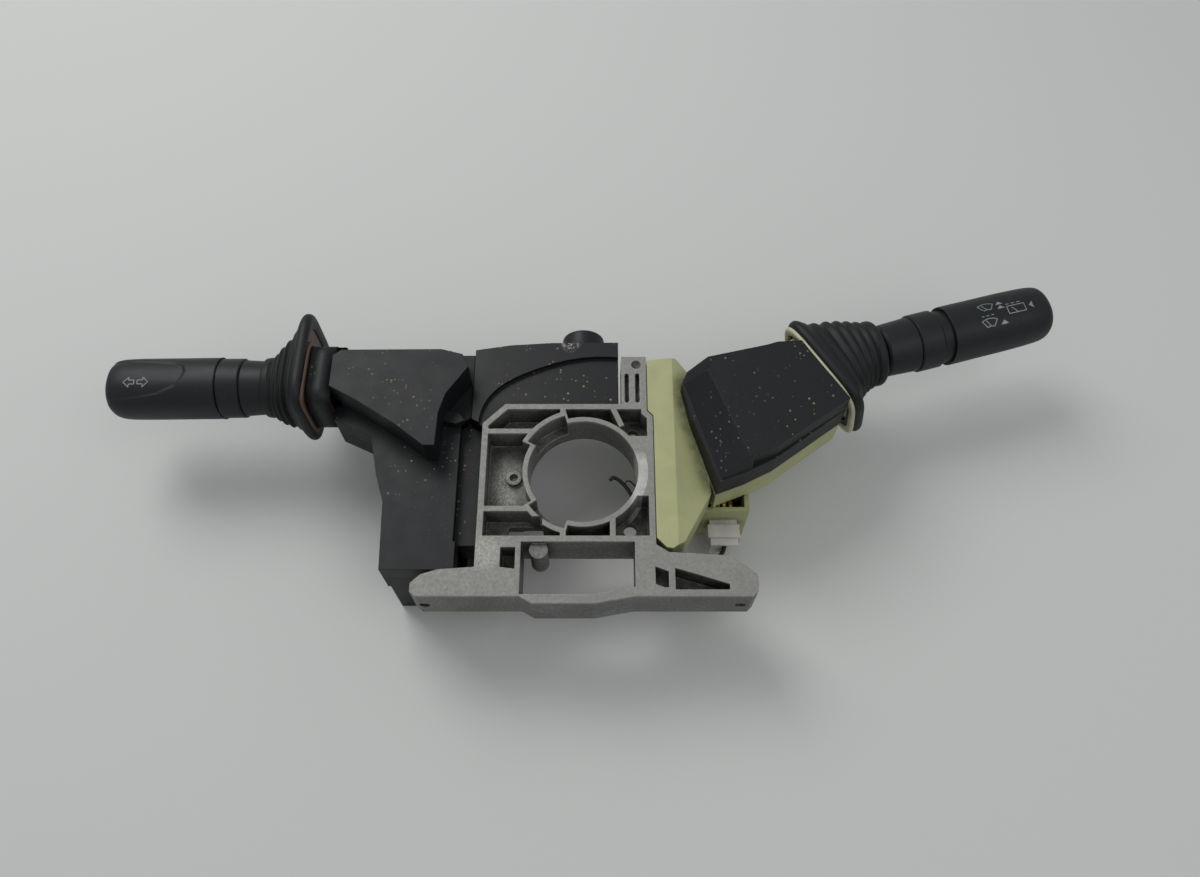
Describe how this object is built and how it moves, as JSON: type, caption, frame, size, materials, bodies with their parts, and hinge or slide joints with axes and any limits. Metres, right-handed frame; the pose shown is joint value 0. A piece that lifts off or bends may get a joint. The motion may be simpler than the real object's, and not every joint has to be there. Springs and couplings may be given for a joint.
{
  "type": "steering column stalk switch",
  "caption": "Steering column stalk switch: die-cast column bracket, lighting stalk, wiper stalk with rubber boots and a hazard push button",
  "frame": {"origin": "on the axis of the column bore, in the bracket's rear seat plane", "axes": "+Z along the column bore towards the driver, +X towards the wiper stalk, +Y towards the hazard button"},
  "size_m": [0.401, 0.1432, 0.0667],
  "materials": {
    "die_cast": "die-cast zinc-aluminium, dull and grimy",
    "base_plastic": "black glass-filled nylon",
    "cover_plastic": "satin charcoal plastic, fine grain",
    "stalk_plastic": "satin blue-black plastic",
    "steel": "plated steel",
    "spring_wire": "spring steel",
    "acetal": "natural acetal",
    "board": "phenolic contact board",
    "terminal_bar": "tinned brass terminals",
    "brown_nylon": "brown nylon",
    "cream_nylon": "cream nylon",
    "yellow_nylon": "aged natural nylon",
    "boot_rubber": "soft black rubber",
    "white_plastic": "white connector plastic",
    "red_lead": "red insulation",
    "white_lead": "white insulation",
    "black_lead": "black insulation"
  },
  "bodies": {
    "root": {"bracket": "die_cast", "left_base": "base_plastic", "left_cover": "cover_plastic", "hazard_housing": "cover_plastic", "left_pivot_pin": "steel", "left_detent_track": "acetal", "left_contact_board": "board", "left_terminals": "terminal_bar", "left_collar": "brown_nylon", "left_boot": "boot_rubber", "left_screw_north": "steel", "left_screw_south": "steel", "hazard_spring": "spring_wire", "right_base": "yellow_nylon", "right_cover": "cover_plastic", "right_pivot_pin": "steel", "right_detent_track": "acetal", "right_contact_board": "board", "right_terminals": "terminal_bar", "right_collar": "cream_nylon", "right_boot": "boot_rubber", "right_screw_north": "steel", "right_screw_south": "steel", "connector_plug": "white_plastic", "lead_red": "red_lead", "lead_white": "white_lead", "lead_black": "black_lead"},
    "left_cradle": {"left_cradle": "acetal", "left_rock_pin": "steel", "left_detent_spring": "spring_wire"},
    "left_detent": {"left_detent_plunger": "steel"},
    "left_stalk": {"left_arm": "stalk_plastic", "left_grip": "stalk_plastic", "left_boot_cuff": "boot_rubber"},
    "left_ring": {"left_ring": "stalk_plastic"},
    "left_slider": {"left_contact_slider": "acetal"},
    "cancel_pawl": {"cancel_pawl": "acetal"},
    "hazard_button": {"hazard_button": "stalk_plastic"},
    "right_cradle": {"right_cradle": "acetal", "right_rock_pin": "steel", "right_detent_spring": "spring_wire"},
    "right_detent": {"right_detent_plunger": "steel"},
    "right_stalk": {"right_arm": "stalk_plastic", "right_spacer": "stalk_plastic", "right_boot_cuff": "boot_rubber"},
    "right_ring": {"right_ring": "stalk_plastic"},
    "right_grip": {"right_grip": "stalk_plastic"},
    "right_slider": {"right_contact_slider": "acetal"}
  },
  "joints": [
    {"name": "left_turn", "type": "hinge", "parent": "root", "child": "left_cradle", "pos_m": [-0.08, 0.041, 0.012], "axis": [0, 0, 1], "range_deg": [-10, 10]},
    {"name": "left_rock", "type": "hinge", "parent": "left_cradle", "child": "left_stalk", "pos_m": [-0.093, 0.04082, 0.012], "axis": [0.014, -0.9999, 0], "range_deg": [-6, 8], "stiffness_Nm_per_rad": 1.5},
    {"name": "left_ring_twist", "type": "hinge", "parent": "left_stalk", "child": "left_ring", "pos_m": [-0.14699, 0.04007, 0.012], "axis": [-0.9999, -0.014, 0], "range_deg": [0, 45]},
    {"name": "left_detent_slide", "type": "slide", "parent": "left_cradle", "child": "left_detent", "axis": [-0.9999, -0.014, 0], "range_m": [0, 0.0015], "stiffness_N_per_m": 800, "deforming": ["left_detent_spring"]},
    {"name": "left_contact_slide", "type": "slide", "parent": "root", "child": "left_slider", "axis": [0.014, -0.9999, 0], "range_m": [-0.003, 0.003]},
    {"name": "right_turn", "type": "hinge", "parent": "root", "child": "right_cradle", "pos_m": [0.0715, 0.0428, 0.012], "axis": [0, 0, 1], "range_deg": [-7, 10]},
    {"name": "right_rock", "type": "hinge", "parent": "right_cradle", "child": "right_stalk", "pos_m": [0.08403, 0.04627, 0.012], "axis": [-0.2672, 0.9636, 0], "range_deg": [-6, 8], "stiffness_Nm_per_rad": 1},
    {"name": "right_ring_twist", "type": "hinge", "parent": "right_stalk", "child": "right_ring", "pos_m": [0.13606, 0.06071, 0.012], "axis": [0.9636, 0.2672, 0], "range_deg": [0, 60]},
    {"name": "right_detent_slide", "type": "slide", "parent": "right_cradle", "child": "right_detent", "axis": [0.9636, 0.2672, 0], "range_m": [0, 0.0015], "stiffness_N_per_m": 800, "deforming": ["right_detent_spring"]},
    {"name": "right_contact_slide", "type": "slide", "parent": "root", "child": "right_slider", "axis": [-0.2672, 0.9636, 0], "range_m": [-0.003, 0.003]},
    {"name": "right_end_push", "type": "slide", "parent": "right_stalk", "child": "right_grip", "axis": [-0.9636, -0.2672, 0], "range_m": [0, 0.003], "stiffness_N_per_m": 1500},
    {"name": "hazard_push", "type": "slide", "parent": "root", "child": "hazard_button", "axis": [0, -1, 0], "range_m": [0, 0.004], "stiffness_N_per_m": 900, "deforming": ["hazard_spring"]},
    {"name": "pawl_slide", "type": "slide", "parent": "root", "child": "cancel_pawl", "axis": [-0.9646, 0.2639, 0], "range_m": [0, 0.003], "stiffness_N_per_m": 300}
  ],
  "couplings": [
    {"joint": "left_contact_slide", "follows": "left_turn", "m_per_rad": -0.0115},
    {"joint": "right_contact_slide", "follows": "right_turn", "m_per_rad": -0.0115}
  ]
}
